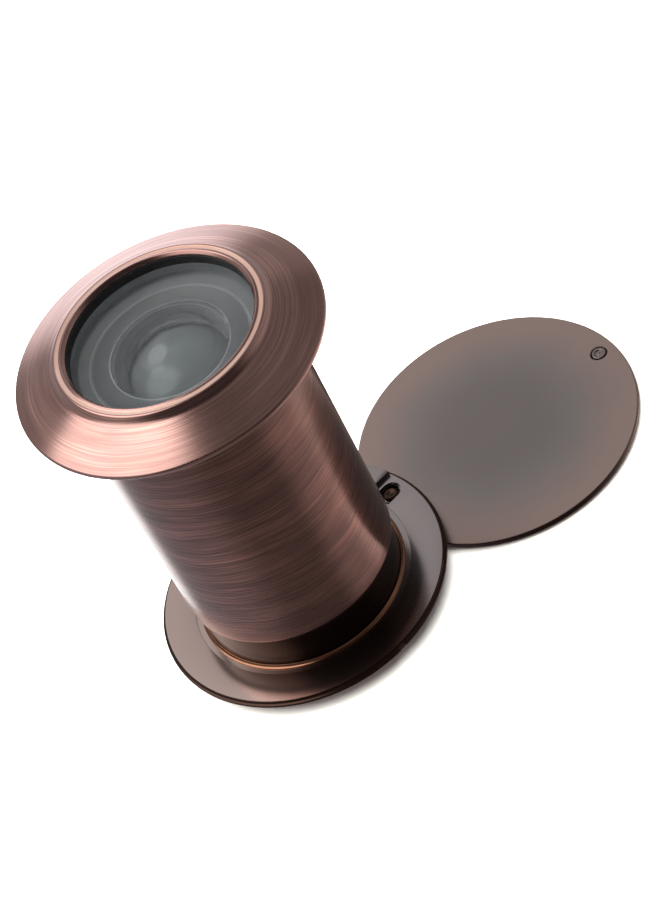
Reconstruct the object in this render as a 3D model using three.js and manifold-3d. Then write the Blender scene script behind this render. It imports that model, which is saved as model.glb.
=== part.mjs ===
// A wide-angle door viewer with a swinging privacy cover, in millimetres, +Z up.
//
// It stands on its room side, as it would on a bench: the sight line runs up +Z, from the
// eyepiece in the rosette to the objective in the flange, and the pivot of the cover lies
// towards +X from the sight line. Heights are counted from the door side of the rosette,
// and the last lines move the whole viewer so that the origin is the middle of its
// footprint, on the surface that it stands on.

import * as THREE from 'three';
import { mergeVertices } from 'three/addons/utils/BufferGeometryUtils.js';
import Module from 'manifold-3d';

const wasm = await Module();
wasm.setup();

// ---- Driving dimensions ----

const BARREL_R = 13.6; // outside of the barrel, for a 28 mm hole in the door
const FLANGE_R = 19; // edge of the street-side flange
const ROSETTE_R = 18.7; // edge of the room-side rosette
const COVER_R = 18.55; // edge of the swinging cover
const DOOR = 43.7; // rosette to flange at rest: the thickness of door it is set for

const BEVEL_FOOT = 0.85; // height of the flange's bevel above its underside, at the rim
const LIP_TOP = DOOR + 3.95; // crest of the rounded lip round the objective
const LIP_BORE_R = 11.75; // opening inside the lip

const SKIRT_BOTTOM = 5.6; // lower end of the barrel at rest
const SKIRT_BORE_R = 13.15; // barrel's plain bore, running over the collar
const SKIRT_LENGTH = 9.4; // length of that plain bore
const THREAD_BORE_R = 12.15; // barrel's threaded bore
const SEAT_BORE_R = 12.5; // barrel's bore round the front lenses
const SEAT_SHOULDER = 35.2; // step that the front lenses stand on

const COLLAR_R = 13; // smooth collar of the eyepiece tube
const COLLAR_TOP = 8;
const TUBE_THREAD_R = 12.05; // outside of the tube's thread
const TUBE_TOP = 29;
const TUBE_BORE_R = 10.6;
const WINDOW_R = 8.6; // clear opening of the eyepiece

const ROSETTE_THICKNESS = 1.6;
const ROSETTE_FACE_R = ROSETTE_R - 0.4; // where the flat door side ends
const RIM_DEPTH = 0.7; // the widest edge lies this far below the door side
const TUBE_HOLE_R = 13.1;
const COUNTERBORE_R = 13.9; // recess for the flange of the eyepiece tube
const COUNTERBORE_FLOOR = -0.8;
const RECESS_R = 14.2; // shallow recess in the door side that centres the root ring
const RECESS_DEPTH = 0.1;

const PIVOT_X = 16; // sight line to the cover's pivot
const COVER_OPEN_DEG = -12.4; // where the cover points at rest, from straight out
const COVER_TOP = -1.85;
const COVER_THICKNESS = 0.85;
const STUD_OFFSET = 16.3; // cover's centre to its finger stud, opposite the pivot
const POCKET_HALF = 1.35; // half width of the pocket round the pivot
const POCKET_DEPTH = 0.9;
const LAND_Y = 2.1; // edge of the raised land beside the pocket
const LAND_HEIGHT = 0.6;
const LAND_END_DEG = 75;
const BASE = -3.3; // lowest point: the rivet's head and the finger stud

const WIDE = 72; // segments round the large pieces
const MID = 48; // round the lenses and their rings
const SMALL = 24; // round the rivet, washer and stud

const BRUSHED_COPPER = { color: 0x8a5246, roughness: 0.34, metalness: 1 };
const DARK_COPPER = { color: 0x6e625e, roughness: 0.3, metalness: 1 };
const BRIGHT_COPPER = { color: 0xd98f6a, roughness: 0.22, metalness: 1 };
const BLACKENED = { color: 0x0d0d0e, roughness: 0.55, metalness: 0 };
const GLASS = { color: 0xb9c2c4, roughness: 0.04, metalness: 0 };
const STEEL = { color: 0xa8a6a2, roughness: 0.3, metalness: 1 };

// ---- Helpers ----

const radians = (degrees) => (degrees * Math.PI) / 180;

// A turned piece: the outline lists [radius, height], anticlockwise with radius to the right.
function turned(outline, segments, closed = true) {
  const points = outline.map(([r, z]) => new THREE.Vector2(r, z));
  if (closed) points.push(points[0].clone());
  return new THREE.LatheGeometry(points, segments).rotateX(Math.PI / 2);
}

// A plain ring from one height to another.
function ring(inner, outer, low, high, segments) {
  return turned([[inner, low], [outer, low], [outer, high], [inner, high]], segments);
}

// Points along a spherical surface, from radius r0 to r1, whose vertex on the axis is at
// height apex. A positive curvature radius opens upwards, as the inside of a bowl does.
function spherical(curvature, apex, r0, r1, steps) {
  const points = [];
  const size = Math.abs(curvature);
  for (let i = 0; i <= steps; i += 1) {
    const r = r0 + ((r1 - r0) * i) / steps;
    const sag = size - Math.sqrt(size * size - r * r);
    points.push([r, apex + Math.sign(curvature) * sag]);
  }
  return points;
}

function toSolid(geometry) {
  const bare = geometry.clone();
  bare.deleteAttribute('normal');
  bare.deleteAttribute('uv');
  const merged = mergeVertices(bare, 1e-4);
  const vertProperties = new Float32Array(merged.attributes.position.array);
  const triVerts = new Uint32Array(merged.index.array);
  return new wasm.Manifold(new wasm.Mesh({ numProp: 3, vertProperties, triVerts }));
}

function toGeometry(solid) {
  const { vertProperties, triVerts } = solid.getMesh();
  const geometry = new THREE.BufferGeometry();
  geometry.setAttribute('position', new THREE.BufferAttribute(vertProperties, 3));
  geometry.setIndex(new THREE.BufferAttribute(triVerts, 1));
  return geometry;
}

function piece(name, geometry, look) {
  const mesh = new THREE.Mesh(geometry, new THREE.MeshStandardMaterial(look));
  mesh.name = name;
  return mesh;
}

// ---- Street side: flange, barrel and front lenses ----

function flangeBezel() {
  const cavity = SEAT_BORE_R + 0.45;
  const lipFoot = LIP_TOP - 1.35;
  return turned([
    [LIP_BORE_R, lipFoot], [cavity, lipFoot], [cavity, DOOR + 1.4], [BARREL_R - 0.4, DOOR + 1.4],
    [BARREL_R - 0.4, DOOR], [BARREL_R + 0.1, DOOR], [FLANGE_R - 0.4, DOOR],
    [FLANGE_R - 0.1, DOOR + 0.15], [FLANGE_R, DOOR + 0.4], [FLANGE_R - 0.1, DOOR + 0.65],
    [FLANGE_R - 0.4, DOOR + BEVEL_FOOT],
    [LIP_BORE_R + 1.5, LIP_TOP - 0.75], [LIP_BORE_R + 1.2, LIP_TOP - 0.25],
    [LIP_BORE_R + 0.65, LIP_TOP], [LIP_BORE_R + 0.2, LIP_TOP - 0.15], [LIP_BORE_R, LIP_TOP - 0.45],
  ], WIDE);
}

// One turned tube: a plain skirt, the thread above it, the lens seat, and a spigot that
// stands in the flange.
function outerBarrel() {
  const threadBottom = SKIRT_BOTTOM + SKIRT_LENGTH;
  const spigotR = BARREL_R - 0.5;
  return turned([
    [SKIRT_BORE_R, SKIRT_BOTTOM], [BARREL_R - 0.15, SKIRT_BOTTOM], [BARREL_R, SKIRT_BOTTOM + 0.15],
    [BARREL_R, DOOR - 0.45], [BARREL_R - 0.15, DOOR - 0.3], [spigotR, DOOR - 0.3],
    [spigotR, DOOR + 1.3], [SEAT_BORE_R, DOOR + 1.3], [SEAT_BORE_R, SEAT_SHOULDER],
    [THREAD_BORE_R, SEAT_SHOULDER], [THREAD_BORE_R, threadBottom], [SKIRT_BORE_R, threadBottom],
  ], WIDE);
}

// A black L-section ring: it lines the opening inside the lip and presses on the objective.
function lensGasket() {
  const inner = LIP_BORE_R - 0.3;
  const liner = LIP_BORE_R - 0.1;
  const foot = DOOR + 2.15;
  return turned([
    [inner, foot], [SEAT_BORE_R + 0.3, foot], [SEAT_BORE_R + 0.3, foot + 0.4],
    [liner, foot + 0.4], [liner, LIP_TOP - 0.6], [inner, LIP_TOP - 0.6],
  ], MID);
}

// A strong negative meniscus: nearly flat outside, deeply hollowed behind.
function objectiveLens() {
  const edge = SEAT_BORE_R - 0.2;
  const back = DOOR - 2;
  return turned([
    ...spherical(-9, back + 3.6, 0, 7.2, 8), [edge - 0.2, back], [edge, back + 0.2],
    ...spherical(-84, DOOR + 2.85, 0, edge, 4).reverse(),
  ], MID, false);
}

function secondLens() {
  const edge = SEAT_BORE_R - 0.2;
  const back = DOOR - 7.1;
  return turned([
    ...spherical(-7.5, back + 3.28, 0, 6.2, 7), [edge, back], [edge, DOOR - 3.4],
    ...spherical(-50, DOOR - 2.66, 0, 8.6, 3).reverse(),
  ], MID, false);
}

function frontSpacer() {
  return ring(9, SEAT_BORE_R - 0.1, DOOR - 3.35, DOOR - 2.05, MID);
}

function rearSpacer() {
  return ring(9, SEAT_BORE_R - 0.1, DOOR - 7.75, DOOR - 7.15, MID);
}

// A black disc with a bevelled hole, which keeps stray light off the eyepiece.
function fieldStop() {
  const low = SEAT_SHOULDER + 0.05;
  return turned([
    [5.5, low], [SEAT_BORE_R - 0.1, low], [SEAT_BORE_R - 0.1, low + 0.6], [6, low + 0.6],
  ], MID);
}

// ---- Room side: eyepiece tube, its lenses, and the rosette ----

function eyepieceTube() {
  const flangeTop = COUNTERBORE_FLOOR - 0.05;
  return turned([
    [WINDOW_R + 0.8, -ROSETTE_THICKNESS], [COUNTERBORE_R - 0.1, -ROSETTE_THICKNESS],
    [COUNTERBORE_R - 0.1, flangeTop], [COLLAR_R, flangeTop], [COLLAR_R, COLLAR_TOP - 0.4],
    [COLLAR_R - 0.4, COLLAR_TOP], [TUBE_THREAD_R, COLLAR_TOP], [TUBE_THREAD_R, TUBE_TOP - 0.3],
    [TUBE_THREAD_R - 0.3, TUBE_TOP], [TUBE_BORE_R, TUBE_TOP], [TUBE_BORE_R, 2],
    [WINDOW_R, 2], [WINDOW_R, -ROSETTE_THICKNESS + 0.8],
  ], WIDE);
}

// The bright ring at the collar's root that locks the rosette against the tube's flange.
function rootRing() {
  const inner = COLLAR_R + 0.05;
  return turned([
    [inner, 0.03 - RECESS_DEPTH], [inner + 0.45, 0.03 - RECESS_DEPTH], [inner + 0.45, 0.06],
    [inner + 0.28, 0.15], [inner + 0.12, 0.4], [inner, 0.4],
  ], WIDE);
}

function eyepieceLens() {
  const edge = TUBE_BORE_R - 0.2;
  return turned([
    ...spherical(30, 0.9, 0, edge, 6),
    ...spherical(-30, 6.1, 0, edge, 6).reverse(),
  ], MID, false);
}

function eyepieceRetainer() {
  return ring(9.1, TUBE_BORE_R - 0.1, 4.95, 6.4, MID);
}

// A thin black sleeve that keeps the tube's wall from shining.
function baffleSleeve() {
  return ring(9.9, TUBE_BORE_R - 0.1, 6.5, 22.1, MID);
}

function relayLens() {
  const edge = TUBE_BORE_R - 0.2;
  return turned([
    ...spherical(-30, 23.46, 0, 8.6, 4), [edge, 22.2], [edge, 25.9],
    ...spherical(30, 24.64, 0, 8.6, 4).reverse(),
  ], MID, false);
}

// A screwed ring with two slots for a pin spanner.
function relayRetainer() {
  const top = 28.4;
  const body = toSolid(ring(8.8, TUBE_BORE_R - 0.1, 26, top, MID));
  const slot = new THREE.BoxGeometry(2 * TUBE_BORE_R + 2, 1.6, 1.6).translate(0, 0, top);
  return toGeometry(body.subtract(toSolid(slot)));
}

// The raised land beside the pivot's pocket, from a straight edge round to LAND_END_DEG.
function rosetteLand() {
  const inner = 14.3;
  const outer = ROSETTE_FACE_R - 0.1;
  const end = radians(LAND_END_DEG);
  const outline = new THREE.Shape();
  outline.moveTo(Math.sqrt(inner ** 2 - LAND_Y ** 2), LAND_Y);
  outline.lineTo(Math.sqrt(outer ** 2 - LAND_Y ** 2), LAND_Y);
  outline.absarc(0, 0, outer, Math.asin(LAND_Y / outer), end, false);
  outline.absarc(0, 0, inner, end, Math.asin(LAND_Y / inner), true);
  const sunk = 0.3;
  return new THREE.ExtrudeGeometry(outline, {
    depth: LAND_HEIGHT + sunk, bevelEnabled: false, curveSegments: 5,
  }).translate(0, 0, -sunk);
}

// The pocket for the rivet's tail: straight sides, a square inner end and a round outer end.
function pivotPocket() {
  const outline = new THREE.Shape();
  outline.moveTo(14.35, -POCKET_HALF);
  outline.lineTo(PIVOT_X + 0.2, -POCKET_HALF);
  outline.absarc(PIVOT_X + 0.2, 0, POCKET_HALF, -Math.PI / 2, Math.PI / 2, false);
  outline.lineTo(14.35, POCKET_HALF);
  return new THREE.ExtrudeGeometry(outline, {
    depth: POCKET_DEPTH + 1, bevelEnabled: false, curveSegments: 6,
  }).translate(0, 0, -POCKET_DEPTH);
}

function rosette() {
  const bottom = -ROSETTE_THICKNESS;
  const plate = toSolid(turned([
    [COUNTERBORE_R, bottom], [ROSETTE_R - 0.9, bottom], [ROSETTE_R, -RIM_DEPTH],
    [ROSETTE_R - 0.02, -0.45], [ROSETTE_R - 0.28, -0.35], [ROSETTE_FACE_R + 0.1, -0.12],
    [ROSETTE_FACE_R, 0], [RECESS_R, 0], [RECESS_R, -RECESS_DEPTH],
    [TUBE_HOLE_R, -RECESS_DEPTH], [TUBE_HOLE_R, COUNTERBORE_FLOOR],
    [COUNTERBORE_R, COUNTERBORE_FLOOR],
  ], WIDE));
  const pivotHole = new THREE.CylinderGeometry(0.8, 0.8, 4, SMALL)
    .rotateX(Math.PI / 2).translate(PIVOT_X, 0, 0);
  // Two small spanner notches in the edge, on the line across the pivot's radius.
  const edgeCuts = [1, -1].map((side) => toSolid(
    new THREE.BoxGeometry(1.1, 2, 1).translate(0, side * (ROSETTE_R + 0.6), -RIM_DEPTH - 0.1),
  ));
  return toGeometry(plate.add(toSolid(rosetteLand())).subtract(toSolid(pivotPocket()))
    .subtract(toSolid(pivotHole)).subtract(edgeCuts[0]).subtract(edgeCuts[1]));
}

// ---- The cover and its pivot ----

// The rivet turns the cover on its shank: head under the cover, tail spread in the pocket.
function pivotRivet() {
  const coverBottom = COVER_TOP - COVER_THICKNESS;
  const shank = 0.72;
  return turned([
    [0, BASE], [1.1, BASE + 0.08], [1.55, BASE + 0.3], [1.6, coverBottom - 0.08],
    [shank, coverBottom - 0.08], [shank, -0.62], [1, -0.62], [1.05, -0.5], [0.8, -0.32], [0, -0.25],
  ], SMALL, false);
}

// A spring washer under the rivet's tail gives the cover its drag.
function springWasher() {
  return ring(0.82, 1.2, -POCKET_DEPTH + 0.03, -0.66, SMALL);
}

// Drawn about the pivot, with the cover's centre towards +X.
function coverDisc() {
  const outline = new THREE.Shape();
  outline.absarc(PIVOT_X, 0, COVER_R, 0, 2 * Math.PI, false);
  const holes = [[0, 0.85], [PIVOT_X + STUD_OFFSET, 1.1]].map(([x, radius]) => {
    const hole = new THREE.Path();
    hole.absarc(x, 0, radius, 0, 2 * Math.PI, true);
    return hole;
  });
  outline.holes.push(...holes);
  return new THREE.ExtrudeGeometry(outline, {
    depth: COVER_THICKNESS, bevelEnabled: false, curveSegments: WIDE / 2,
  }).translate(0, 0, COVER_TOP - COVER_THICKNESS);
}

function fingerStud() {
  const underCover = COVER_TOP - COVER_THICKNESS - 0.05;
  const shank = 0.92;
  return turned([
    [0, BASE], [1.1, BASE + 0.06], [1.6, BASE + 0.25], [1.7, underCover],
    [shank, underCover], [shank, COVER_TOP - 0.1], [0.7, COVER_TOP - 0.02], [0, COVER_TOP - 0.02],
  ], SMALL, false).translate(PIVOT_X + STUD_OFFSET, 0, 0);
}

// ---- Assembly ----

const barrelUnit = new THREE.Group();
barrelUnit.add(
  piece('flange_bezel', flangeBezel(), BRUSHED_COPPER),
  piece('outer_barrel', outerBarrel(), BRUSHED_COPPER),
  piece('lens_gasket', lensGasket(), BLACKENED),
  piece('objective_lens', objectiveLens(), GLASS),
  piece('front_spacer', frontSpacer(), BLACKENED),
  piece('second_lens', secondLens(), GLASS),
  piece('rear_spacer', rearSpacer(), BLACKENED),
  piece('field_stop', fieldStop(), BLACKENED),
);

const pivot = new THREE.Group();
pivot.position.x = PIVOT_X;
pivot.add(
  piece('pivot_rivet', pivotRivet(), STEEL),
  piece('spring_washer', springWasher(), STEEL),
);

const eyepieceUnit = new THREE.Group();
eyepieceUnit.add(
  piece('rosette', rosette(), DARK_COPPER),
  piece('eyepiece_tube', eyepieceTube(), DARK_COPPER),
  piece('root_ring', rootRing(), BRIGHT_COPPER),
  piece('eyepiece_lens', eyepieceLens(), GLASS),
  piece('eyepiece_retainer', eyepieceRetainer(), BLACKENED),
  piece('baffle_sleeve', baffleSleeve(), BLACKENED),
  piece('relay_lens', relayLens(), GLASS),
  piece('relay_retainer', relayRetainer(), BLACKENED),
  pivot,
);

const coverUnit = new THREE.Group();
coverUnit.position.x = PIVOT_X;
coverUnit.rotation.z = radians(COVER_OPEN_DEG);
coverUnit.add(
  piece('cover_disc', coverDisc(), DARK_COPPER),
  piece('finger_stud', fingerStud(), DARK_COPPER),
);

// The footprint's middle: the flange reaches furthest to -X and +Y, the cover to +X and -Y.
const coverX = PIVOT_X * (1 + Math.cos(radians(COVER_OPEN_DEG)));
const coverY = PIVOT_X * Math.sin(radians(COVER_OPEN_DEG));
const middleX = (coverX + COVER_R - FLANGE_R) / 2;
const middleY = (coverY - COVER_R + FLANGE_R) / 2;

const doorViewer = new THREE.Group();
doorViewer.add(barrelUnit, eyepieceUnit, coverUnit);
doorViewer.position.set(-middleX, -middleY, -BASE);

export default doorViewer;
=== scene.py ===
# %% [markdown]
# # A wide-angle door viewer
#
# A door viewer is a small telescope that clamps through a door. From the street one sees a flange
# with a fisheye lens in it, screwed on a tube. From the room one sees a round rosette with a cover
# that swings aside on a rivet. Here it stands on its room side, unscrewed from any door, with the
# cover swung out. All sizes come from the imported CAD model, which is loaded first and never
# changed. Its pieces are faceted, so each one gets a smooth stand-in made of the same outline.

import math

import bmesh
import bpy
import numpy as np
from mathutils import Matrix, Vector


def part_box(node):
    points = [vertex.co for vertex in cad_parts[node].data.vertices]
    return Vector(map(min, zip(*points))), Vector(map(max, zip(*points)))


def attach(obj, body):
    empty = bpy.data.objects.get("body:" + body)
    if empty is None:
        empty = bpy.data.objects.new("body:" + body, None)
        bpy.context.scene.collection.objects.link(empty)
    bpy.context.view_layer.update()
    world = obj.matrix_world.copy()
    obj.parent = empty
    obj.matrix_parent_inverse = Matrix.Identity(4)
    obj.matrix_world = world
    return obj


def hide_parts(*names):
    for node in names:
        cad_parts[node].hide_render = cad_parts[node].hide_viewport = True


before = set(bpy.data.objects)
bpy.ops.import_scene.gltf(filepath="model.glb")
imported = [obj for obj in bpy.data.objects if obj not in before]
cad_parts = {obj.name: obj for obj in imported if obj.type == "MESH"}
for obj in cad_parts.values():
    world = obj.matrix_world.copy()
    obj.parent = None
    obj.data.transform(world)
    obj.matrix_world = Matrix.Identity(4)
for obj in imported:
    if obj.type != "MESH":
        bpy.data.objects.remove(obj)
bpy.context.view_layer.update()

# %% [markdown]
# ## Where things are, and how big
#
# Nearly every piece is round about one of three upright axes: the sight line, the pivot of the
# cover, and the cover's own centre. The finger stud has a fourth. Each axis is the middle of a CAD
# node's box. Heights in this lesson are in millimetres above the rosette's door side, because that
# is the face that all the parts of a real viewer are set out from. The names below are the radii
# and heights where one piece meets another; a size that only one piece has stays in its outline.

# %% Axes, the zero height and the shared sizes
MM = 0.001
DOOR = 43.7
FLANGE_R = 19.0
BARREL_R = 13.6
SEAT_R = 12.5
STACK_R = 12.4
LENS_R = 12.3
SEAT_Z = 35.2
COLLAR_R = 13.0
COLLAR_TOP = 8.0
THREAD_R = 12.05
TUBE_TOP = 29.0
TUBE_RING_R = 10.5
PLATE_BOTTOM = -1.6
COVER_R = 18.55
COVER_TOP = -1.85
COVER_BOTTOM = -2.7
RIVET_HOLE_R = 0.85
STUD_HOLE_R = 1.1


def axis_of(node):
    """The upright axis through the middle of a CAD node's box, as (x, y) in metres."""
    low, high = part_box(node)
    return ((low.x + high.x) / 2, (low.y + high.y) / 2)


SIGHT = axis_of("outer_barrel")
PIVOT = axis_of("pivot_rivet")
COVER = axis_of("cover_disc")
STUD = axis_of("finger_stud")
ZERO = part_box("flange_bezel")[0].z - DOOR * MM
print("sight line", SIGHT, "pivot", PIVOT, "cover", COVER, "zero height", round(ZERO, 5))

# %% [markdown]
# ## Outlines with rounded corners
#
# A turned or stamped piece never has a knife edge: the tool leaves a small round, and that round
# is what catches the light as a thin bright line. A Bevel modifier could add it, but it rounds
# every edge alike. Here each corner of the outline carries its own rounding, and one formula
# turns the corner list into points.

# %% Rounded outlines


def rounded(corners, steps=5, hold=0.12):
    """Points along an outline of corners (radius, height, rounding), in mm, anticlockwise.

    Where the outline turns by an angle t, the arc of radius q touches both sides at a distance
    q tan(t/2) from the corner, and its centre lies q / cos(t/2) away along the bisector. One more
    point a little before and after each arc keeps the flat beside it level when it is shaded.
    """
    table = np.array(corners, float)
    point, radius = table[:, :2], table[:, 2:]
    ahead = np.roll(point, -1, axis=0) - point
    length = np.linalg.norm(ahead, axis=1, keepdims=True)
    leave = ahead / length
    arrive = np.roll(leave, 1, axis=0)
    cross = arrive[:, :1] * leave[:, 1:] - arrive[:, 1:] * leave[:, :1]
    turn = np.arctan2(cross, (arrive * leave).sum(1, keepdims=True))
    bisector = leave - arrive
    bisector /= np.maximum(np.linalg.norm(bisector, axis=1, keepdims=True), 1e-9)
    reach = radius * np.tan(np.abs(turn) / 2)
    centre = point + bisector * radius / np.cos(turn / 2)
    angle = np.linspace(-0.5, 0.5, steps) * turn
    spoke = -bisector * radius
    arc_r = centre[:, :1] + spoke[:, :1] * np.cos(angle) - spoke[:, 1:] * np.sin(angle)
    arc_z = centre[:, 1:] + spoke[:, :1] * np.sin(angle) + spoke[:, 1:] * np.cos(angle)
    free = length - reach - np.roll(reach, -1, axis=0)
    after = np.minimum(hold, 0.3 * free)
    before = np.roll(after, 1, axis=0) * (radius > 0)
    after = after * (radius > 0)
    first = point - arrive * (reach + before)
    last = point + leave * (reach + after)
    rows = [first[:, None], np.stack([arc_r, arc_z], -1), last[:, None]]
    path = np.concatenate(rows, axis=1).reshape(-1, 2)
    fresh = np.linalg.norm(path - np.roll(path, 1, axis=0), axis=1) > 1e-4
    return path[fresh]


def dome(curve, apex, start, end, steps=24):
    """Points (radius, height, 0) on a sphere of radius |curve| with its vertex at height apex.

    The height differs from the apex by |curve| - sqrt(curve^2 - r^2), upwards if curve is positive.
    """
    r = np.linspace(start, end, steps + 1)
    sag = abs(curve) - np.sqrt(curve * curve - r * r)
    return [(x, apex + math.copysign(1, curve) * s, 0) for x, s in zip(r, sag)]


square = rounded([(1, 0, 0.1), (2, 0, 0.1), (2, 1, 0.1), (1, 1, 0.1)])
print("a rounded square has", len(square), "points")

# %% [markdown]
# ## Turning an outline into a piece
#
# The Screw modifier or bpy.ops.mesh.spin could turn an outline, but both leave a seam to merge.
# A grid of outline points by angles has no seam, and it can also carry a measure of its own:
# each point stores its direction from the axis and its way along the outline. Brush marks follow
# that measure round the piece, as they follow the lathe.

# %% Turned surfaces
SEGMENTS = 256


def mesh_from(name, points, faces, track=None):
    """A new object with these points (in mm) and faces; track becomes an attribute."""
    mesh = bpy.data.meshes.new(name)
    mesh.from_pydata(points.tolist(), [], faces)
    if track is not None:
        measure = mesh.attributes.new("track", "FLOAT_VECTOR", "POINT")
        measure.data.foreach_set("vector", track.astype(np.float32).ravel())
    made = bpy.data.objects.new(name, mesh)
    bpy.context.scene.collection.objects.link(made)
    return made


def spun(name, path, segments=SEGMENTS, push=None):
    """An outline turned about the upright axis, in mm.

    Point (i, j) is (r_i cos a_j, r_i sin a_j, z_i), where a_j = 2 pi j / segments. push(r, z, a),
    if given, says what r becomes. Where the outline meets the axis, its ring shrinks to one point.
    """
    angle = np.arange(segments) * (2 * math.pi / segments)
    r, a = np.meshgrid(path[:, 0], angle, indexing="ij")
    z = np.broadcast_to(path[:, 1:], r.shape)
    if push is not None:
        r = push(r, z, a)
    step = np.linalg.norm(np.diff(path, axis=0), axis=1)
    way = np.broadcast_to(np.concatenate([[0], np.cumsum(step)])[:, None], r.shape)
    pole = path[:, 0] < 1e-6
    round_it = np.where(pole[:, None], 0, 1)
    track = np.stack([round_it * np.cos(a), round_it * np.sin(a), way], -1).reshape(-1, 3)
    points = np.stack([r * np.cos(a), r * np.sin(a), z], -1).reshape(-1, 3)
    ids = np.arange(points.shape[0]).reshape(r.shape)
    ids[pole] = ids[pole][:, :1]
    side = np.roll(ids, -1, axis=1)
    quads = np.stack([ids, side, np.roll(side, -1, axis=0), np.roll(ids, -1, axis=0)], -1)
    quads = (quads[:-1] if pole.any() else quads).reshape(-1, 4)
    used, quads = np.unique(quads, return_inverse=True)
    quads = quads.reshape(-1, 4)
    start, end = quads[:, 0] == quads[:, 1], quads[:, 2] == quads[:, 3]
    faces = quads[~start & ~end].tolist() + quads[start][:, [0, 2, 3]].tolist()
    return mesh_from(name, points[used], faces + quads[end][:, :3].tolist(), track[used])


def prism(name, outline, low, high):
    """An outline (x, y) in mm, anticlockwise, carried straight up from low to high and closed."""
    n = len(outline)
    rings = [np.column_stack([outline, np.full(n, h)]) for h in (low, high)]
    i = np.arange(n)
    walls = np.stack([i, (i + 1) % n, (i + 1) % n + n, i + n], -1).tolist()
    caps = [i[::-1].tolist(), (i + n).tolist()]
    return mesh_from(name, np.concatenate(rings), walls + caps)


# %% [markdown]
# ## Cutting, placing and handing over
#
# Holes and pockets are cut with the Boolean modifier while a piece is still in millimetres, where
# its sizes are comfortable numbers for the solver. A cut leaves slivers in flat faces, and smooth
# shading would show them as hairlines, so flat faces are merged and shaded flat. Then the piece is
# scaled into the frame, smooth shaded except across real edges, tied to its CAD body, and takes
# the place of its CAD node.

# %% Finishing helpers
# Edges that turn by more than SHARP stay sharp. A face counts as level if the upright part of its
# unit normal is at least UPRIGHT.
SHARP = math.radians(32)
UPRIGHT = 0.99999


def settle(piece):
    """Gives the piece the mesh that its modifiers make, and removes them."""
    graph = bpy.context.evaluated_depsgraph_get()
    made = bpy.data.meshes.new_from_object(piece.evaluated_get(graph))
    piece.modifiers.clear()
    piece.data = made


def merge_level(piece):
    """Merges points closer than 0.0005 mm and neighbouring faces within 0.002 radian, which melts
    the slivers that cutting leaves in flat faces."""
    shape = bmesh.new()
    shape.from_mesh(piece.data)
    bmesh.ops.remove_doubles(shape, verts=shape.verts, dist=0.0005)
    bmesh.ops.dissolve_limit(shape, angle_limit=0.002, verts=shape.verts, edges=shape.edges)
    bmesh.ops.triangulate(shape, faces=[f for f in shape.faces if len(f.verts) > 4])
    shape.to_mesh(piece.data)
    shape.free()


def carve(piece, tool, operation="DIFFERENCE"):
    """Cuts tool out of piece, or joins it on, and removes tool."""
    step = piece.modifiers.new("carve", "BOOLEAN")
    step.operation = operation
    step.solver = "EXACT"
    step.object = tool
    settle(piece)
    bpy.data.objects.remove(tool)


def level(mesh):
    """Shades flat the faces that look straight up or down, so that cut plates stay level."""
    normal = np.empty(len(mesh.polygons) * 3)
    mesh.polygons.foreach_get("normal", normal)
    mesh.polygons.foreach_set("use_smooth", np.abs(normal[2::3]) < UPRIGHT)


def hand_over(piece, axis, body, node, slot, *finishes):
    """Scales a piece in mm into the frame about axis, shades it, and lets it stand for node."""
    mesh = piece.data
    mesh.transform(Matrix.Translation((axis[0], axis[1], ZERO)) @ Matrix.Scale(MM, 4))
    mesh.shade_smooth()
    level(mesh)
    mesh.set_sharp_from_angle(angle=SHARP)
    for finish in finishes:
        mesh.materials.append(finish)
    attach(piece, body)
    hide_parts(node)
    print(f"{piece.name}: {len(mesh.polygons)} faces, stands for {node}")
    return piece


# %% [markdown]
# ## Colours and nodes
#
# Colours are written as the sRGB hex values that a paint program shows. Shaders work in linear
# light, so one function converts them. One more function adds a node: its own settings by name,
# the values of its sockets, and the links into it.

# %% Colour and node helpers


def linear(code):
    """An sRGB hex colour as linear RGBA: v/12.92 below 0.04045, else ((v+0.055)/1.055)^2.4."""
    v = np.array([int(code[i:i + 2], 16) for i in (1, 3, 5)]) / 255
    value = np.where(v <= 0.04045, v / 12.92, ((v + 0.055) / 1.055) ** 2.4)
    return (*value.tolist(), 1.0)


def add(tree, kind, values=(), links=(), **settings):
    """Adds a node; values and links are pairs of (input socket, value or output socket)."""
    node = tree.nodes.new(kind)
    for key, value in settings.items():
        setattr(node, key, value)
    for key, value in values:
        node.inputs[key].default_value = value
    for key, source in links:
        tree.links.new(source, node.inputs[key])
    return node


def new_material(name):
    """An empty material and its node tree."""
    material = bpy.data.materials.new(name)
    material.use_nodes = True
    material.node_tree.nodes.clear()
    return material, material.node_tree


print("mid grey is", [round(v, 3) for v in linear("#808080")])

# %% [markdown]
# ## Antique copper, brushed on the lathe
#
# The barrel and the flange are brass plated with copper, stained nearly black, and then brushed
# while they turn. The brush takes the stain off the high spots, so pink copper shows in long
# fine streaks on brown, and a clear lacquer keeps it so. The metal's grooves all run round the
# axis, which spreads each highlight across them: that is the Anisotropic setting, with its
# tangent round Z. Streaks are noise stretched along the track measure: about 11 mm long and
# 0.15 mm wide on the barrel, a little wider than real brush marks so that they show. A slower
# noise says how hard the brush pressed, so the marks come in bands. The dip in the lip is
# painted a pale bright copper, a painted highlight for the bright line that shows there.

# %% Brushed copper


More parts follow.
